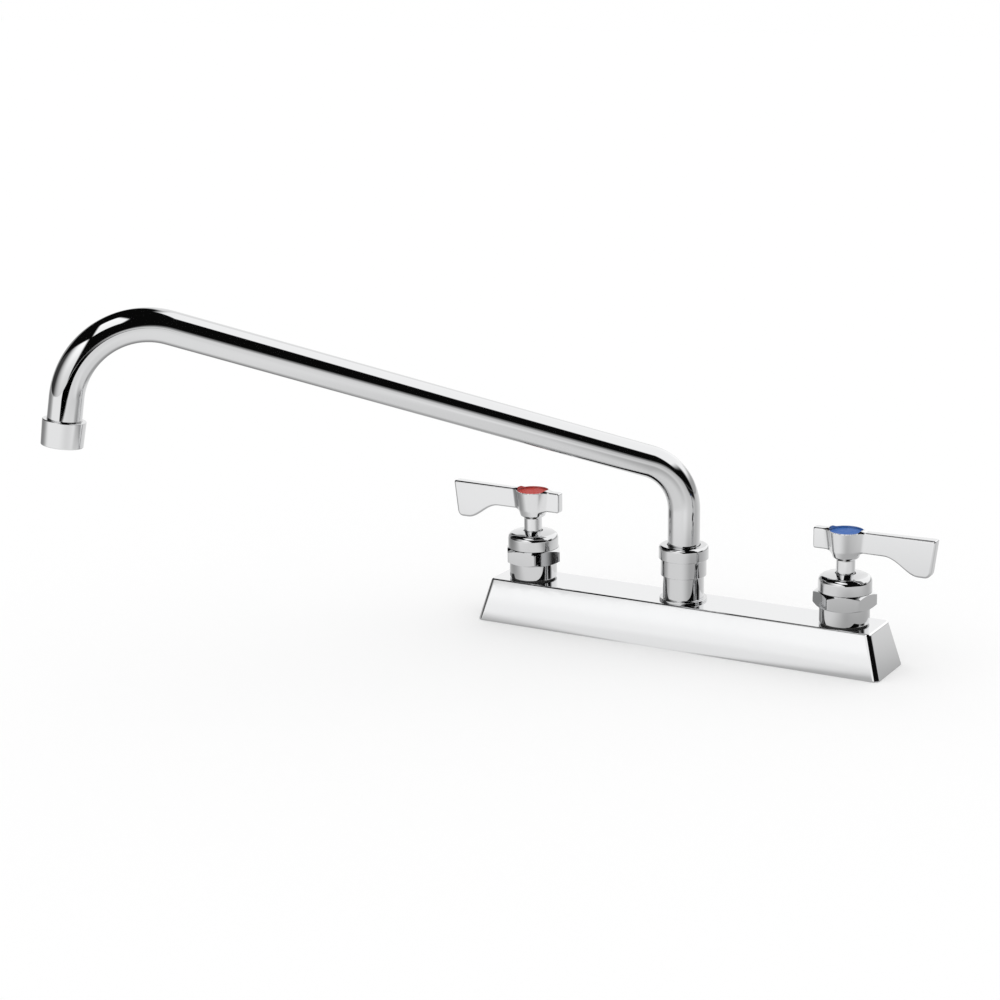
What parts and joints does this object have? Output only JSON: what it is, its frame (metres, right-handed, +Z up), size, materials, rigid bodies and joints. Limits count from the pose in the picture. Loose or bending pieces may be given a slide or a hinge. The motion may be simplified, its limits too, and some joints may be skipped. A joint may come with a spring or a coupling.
{
  "type": "deck-mount faucet",
  "caption": "Long low base with a swinging bent-tube spout and two quarter-turn lever valves, one with a red and one with a blue index button.",
  "frame": {"origin": "middle of the base's underside, on the deck surface, below the spout post", "axes": "+Z up, +X along the base from the hot valve to the cold valve, -Y towards the user"},
  "size_m": [0.4236, 0.2813, 0.2179],
  "materials": {
    "plated_casting": "polished chrome plate over cast brass",
    "plated_turning": "polished chrome plate over turned brass",
    "plated_tube": "polished chrome plate over drawn brass tube",
    "plated_handle": "polished chrome plate over a cast lever",
    "brass": "machined, unplated",
    "ceramic_disc": "ground and lapped",
    "seal_rubber": "moulded",
    "gasket_fibre": "matt",
    "slip_ring": "turned low-friction ring",
    "steel_screw": "machined",
    "steel_screen": "punched sheet",
    "insert_plastic": "moulded",
    "red_button": "glossy, moulded through",
    "blue_button": "glossy, moulded through"
  },
  "bodies": {
    "fixture": {"base_body": "plated_casting", "spout_post": "plated_turning", "swivel_nut": "plated_turning", "slip_washer": "slip_ring", "bonnet_hot": "plated_turning", "bonnet_cold": "plated_turning", "bonnet_gasket_hot": "gasket_fibre", "bonnet_gasket_cold": "gasket_fibre", "cap_hot": "plated_turning", "cap_cold": "plated_turning", "cartridge_hot": "brass", "cartridge_cold": "brass", "fixed_disc_hot": "ceramic_disc", "fixed_disc_cold": "ceramic_disc", "seat_seal_hot": "seal_rubber", "seat_seal_cold": "seal_rubber"},
    "spout": {"spout_tube": "plated_tube", "spout_ferrule": "brass", "spout_orings": "seal_rubber", "outlet_collar": "plated_turning", "aerator_washer": "seal_rubber", "aerator_screen": "steel_screen", "aerator_insert": "insert_plastic"},
    "hot_lever": {"stem_hot": "brass", "stem_orings_hot": "seal_rubber", "moving_disc_hot": "ceramic_disc", "handle_hot": "plated_handle", "handle_screw_hot": "steel_screw", "index_button_hot": "red_button"},
    "cold_lever": {"stem_cold": "brass", "stem_orings_cold": "seal_rubber", "moving_disc_cold": "ceramic_disc", "handle_cold": "plated_handle", "handle_screw_cold": "steel_screw", "index_button_cold": "blue_button"}
  },
  "joints": [
    {"name": "spout_swivel", "type": "hinge", "parent": "fixture", "child": "spout", "pos_m": [0, 0, 0.0528], "axis": [0, 0, 1], "continuous": true},
    {"name": "hot_turn", "type": "hinge", "parent": "fixture", "child": "hot_lever", "pos_m": [-0.1016, 0, 0.054], "axis": [0, 0, 1], "range_deg": [0, 90]},
    {"name": "cold_turn", "type": "hinge", "parent": "fixture", "child": "cold_lever", "pos_m": [0.1016, 0, 0.054], "axis": [0, 0, 1], "range_deg": [-90, 0]}
  ]
}
